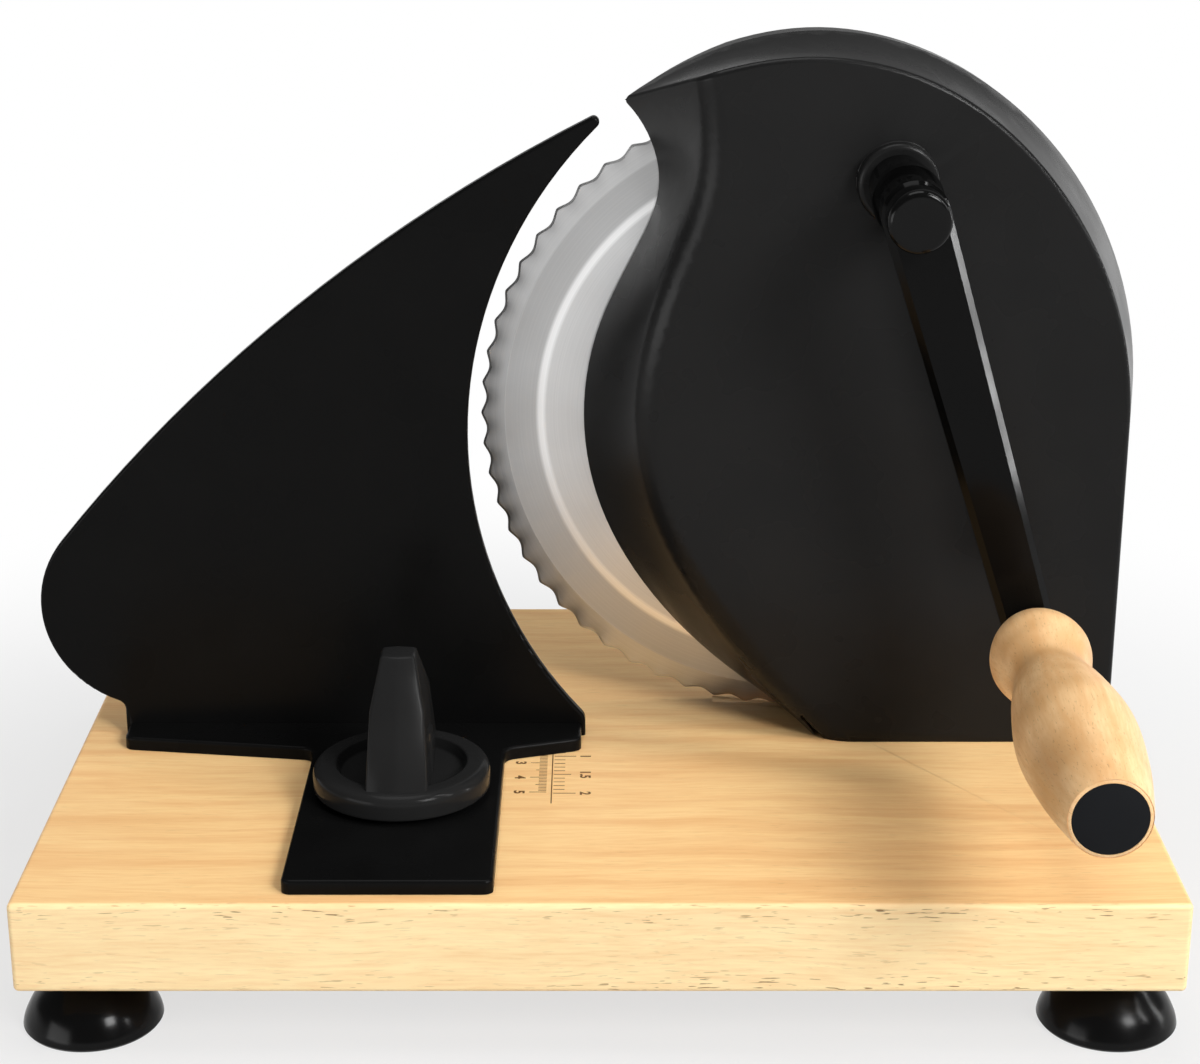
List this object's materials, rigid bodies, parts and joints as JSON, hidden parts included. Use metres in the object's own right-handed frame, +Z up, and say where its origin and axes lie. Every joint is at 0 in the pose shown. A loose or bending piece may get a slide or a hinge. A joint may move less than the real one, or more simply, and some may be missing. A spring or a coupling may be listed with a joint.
{
  "type": "bread slicer with hand crank",
  "caption": "Bread slicer: crank, round serrated blade in a black housing with a swept ramp, sliding sail-shaped stop plate with clamp knob, wooden board on suction feet.",
  "frame": {"origin": "centre of the bounding box in X and Y, at the level the suction cups stand on", "axes": "+X to the right of someone facing the crank, +Y back towards the loaf, +Z up"},
  "size_m": [0.324, 0.268, 0.2528],
  "materials": {
    "board_wood": "waxed solid beech",
    "foot_rubber": "moulded black rubber",
    "screw_steel": "zinc plated",
    "housing_black": "satin powder coat on die-cast aluminium",
    "stop_black": "satin powder coat on die-cast aluminium",
    "blade_steel": "ground stainless steel",
    "gear_nylon": "moulded nylon",
    "axle_steel": "turned steel",
    "bush_bronze": "sintered bronze",
    "arm_black": "gloss black enamel on steel",
    "cap_black": "moulded black plastic",
    "grip_wood": "turned and lacquered beech",
    "sleeve_nylon": "moulded nylon",
    "knob_black": "moulded black phenolic",
    "brass": "turned brass"
  },
  "bodies": {
    "base": {"base_board": "board_wood", "foot_front_left": "foot_rubber", "foot_front_right": "foot_rubber", "foot_back_left": "foot_rubber", "foot_back_right": "foot_rubber", "foot_washers": "screw_steel", "foot_screws": "screw_steel", "housing_cover": "housing_black", "housing_screws": "screw_steel", "blade_axle": "axle_steel", "blade_thrust_washer": "bush_bronze", "blade_lock_washer": "screw_steel", "blade_lock_screw": "axle_steel", "crank_bush": "bush_bronze"},
    "cutter": {"blade": "blade_steel", "blade_gear": "gear_nylon", "blade_bush": "bush_bronze", "blade_screws": "screw_steel"},
    "crank": {"crank_shaft": "axle_steel", "drive_pinion": "axle_steel", "pinion_pin": "axle_steel", "crank_arm": "arm_black", "crank_cap_nut": "cap_black", "grip_spindle": "axle_steel", "grip_washer": "screw_steel", "grip_screw": "screw_steel"},
    "handle": {"grip": "grip_wood", "grip_sleeve_back": "sleeve_nylon", "grip_sleeve_front": "sleeve_nylon", "grip_cap": "cap_black"},
    "stop": {"stop_plate": "stop_black", "guide_block": "sleeve_nylon", "guide_screws": "screw_steel", "clamp_plate": "screw_steel", "clamp_bolt": "screw_steel", "knob_washer": "screw_steel"},
    "knob": {"clamp_knob": "knob_black", "knob_insert": "brass"}
  },
  "joints": [
    {"name": "crank_turn", "type": "hinge", "parent": "base", "child": "crank", "pos_m": [0.0859, 0.01698, 0.21562], "axis": [0, 1, 0], "continuous": true},
    {"name": "blade_spin", "type": "hinge", "parent": "base", "child": "cutter", "pos_m": [0.0629, 0.04897, 0.139], "axis": [0, 1, 0], "continuous": true},
    {"name": "grip_spin", "type": "hinge", "parent": "crank", "child": "handle", "pos_m": [0.12316, -0.08102, 0.09599], "axis": [0, 1, 0], "continuous": true},
    {"name": "stop_slide", "type": "slide", "parent": "base", "child": "stop", "axis": [0, 1, 0], "range_m": [-0.025, 0.025]},
    {"name": "knob_turn", "type": "hinge", "parent": "stop", "child": "knob", "pos_m": [-0.0525, -0.01903, 0.056], "axis": [0, 0, 1], "range_deg": [0, 360]}
  ],
  "couplings": [
    {"joint": "blade_spin", "follows": "crank_turn", "ratio": -0.48148}
  ]
}
